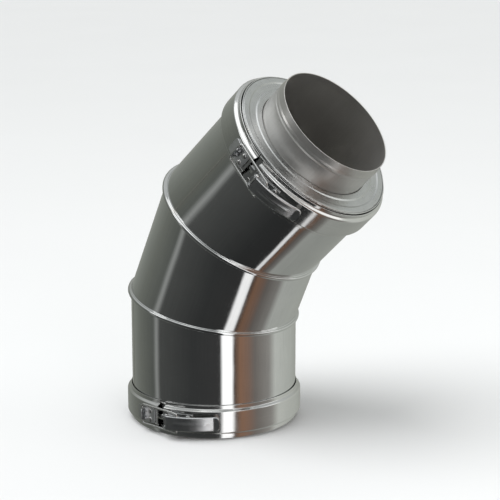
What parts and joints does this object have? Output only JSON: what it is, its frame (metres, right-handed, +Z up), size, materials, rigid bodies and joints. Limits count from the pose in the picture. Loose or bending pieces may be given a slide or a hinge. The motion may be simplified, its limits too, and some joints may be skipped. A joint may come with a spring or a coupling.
{
  "type": "flue elbow",
  "caption": "Insulated twin-wall stainless flue elbow, 45 degrees in mitred gores, with a liner socket below, a spigot above and a toggle-latched locking band at each end.",
  "frame": {"origin": "middle of the bounding box, on the plane that the lower joint face stands on", "axes": "+Z up along the lower leg, +X the way the upper leg leans, -Y the side that both latches face"},
  "size_m": [0.2886, 0.197, 0.375],
  "materials": {
    "casing_steel": "bright annealed stainless sheet, almost mirror-like, faint grain along the pipe",
    "band_steel": "bright roll-formed stainless strip, faint grain round the pipe",
    "ring_steel": "satin pressed stainless sheet",
    "liner_steel": "dull mill-finish stainless sheet with a straight weld",
    "latch_steel": "satin pressed stainless plate with rounded edges",
    "rivet_steel": "satin headed steel",
    "wire_steel": "drawn stainless wire",
    "mineral_wool": "matt yellow-brown fibre packing"
  },
  "bodies": {
    "elbow": {"lower_casing": "casing_steel", "middle_casing": "casing_steel", "upper_casing": "casing_steel", "lower_liner": "liner_steel", "middle_liner": "liner_steel", "upper_liner": "liner_steel", "lower_insulation": "mineral_wool", "middle_insulation": "mineral_wool", "upper_insulation": "mineral_wool", "lower_end_ring": "ring_steel", "upper_end_ring": "ring_steel"},
    "lower_band": {"lower_band_strap": "band_steel", "lower_latch_base": "latch_steel", "lower_base_rivet_1": "rivet_steel", "lower_base_rivet_2": "rivet_steel", "lower_latch_keeper": "latch_steel", "lower_keeper_rivet_1": "rivet_steel", "lower_keeper_rivet_2": "rivet_steel", "lower_lever_pin": "rivet_steel"},
    "lower_lever": {"lower_latch_lever": "latch_steel"},
    "lower_bail": {"lower_latch_bail": "wire_steel"},
    "upper_band": {"upper_band_strap": "band_steel", "upper_latch_base": "latch_steel", "upper_base_rivet_1": "rivet_steel", "upper_base_rivet_2": "rivet_steel", "upper_latch_keeper": "latch_steel", "upper_keeper_rivet_1": "rivet_steel", "upper_keeper_rivet_2": "rivet_steel", "upper_lever_pin": "rivet_steel"},
    "upper_lever": {"upper_latch_lever": "latch_steel"},
    "upper_bail": {"upper_latch_bail": "wire_steel"}
  },
  "joints": [
    {"name": "lower_band_turn", "type": "hinge", "parent": "elbow", "child": "lower_band", "pos_m": [-0.05154, 0.00565, 0.019], "axis": [0, 0, 1], "continuous": true},
    {"name": "lower_lever_hinge", "type": "hinge", "parent": "lower_band", "child": "lower_lever", "pos_m": [-0.03854, -0.09395, 0.019], "axis": [0, 0, -1], "range_deg": [0, 150]},
    {"name": "lower_bail_hinge", "type": "hinge", "parent": "lower_lever", "child": "lower_bail", "pos_m": [-0.02654, -0.09295, 0.019], "axis": [0, 0, -1], "range_deg": [-150, 0]},
    {"name": "upper_band_turn", "type": "hinge", "parent": "elbow", "child": "upper_band", "pos_m": [0.06168, 0.00565, 0.29234], "axis": [0.7071, 0, 0.7071], "continuous": true},
    {"name": "upper_lever_hinge", "type": "hinge", "parent": "upper_band", "child": "upper_lever", "pos_m": [0.07087, -0.09395, 0.28315], "axis": [-0.7071, 0, -0.7071], "range_deg": [0, 150]},
    {"name": "upper_bail_hinge", "type": "hinge", "parent": "upper_lever", "child": "upper_bail", "pos_m": [0.07936, -0.09295, 0.27466], "axis": [-0.7071, 0, -0.7071], "range_deg": [-150, 0]}
  ],
  "couplings": [
    {"joint": "lower_bail_hinge", "follows": "lower_lever_hinge", "ratio": -1},
    {"joint": "upper_bail_hinge", "follows": "upper_lever_hinge", "ratio": -1}
  ]
}
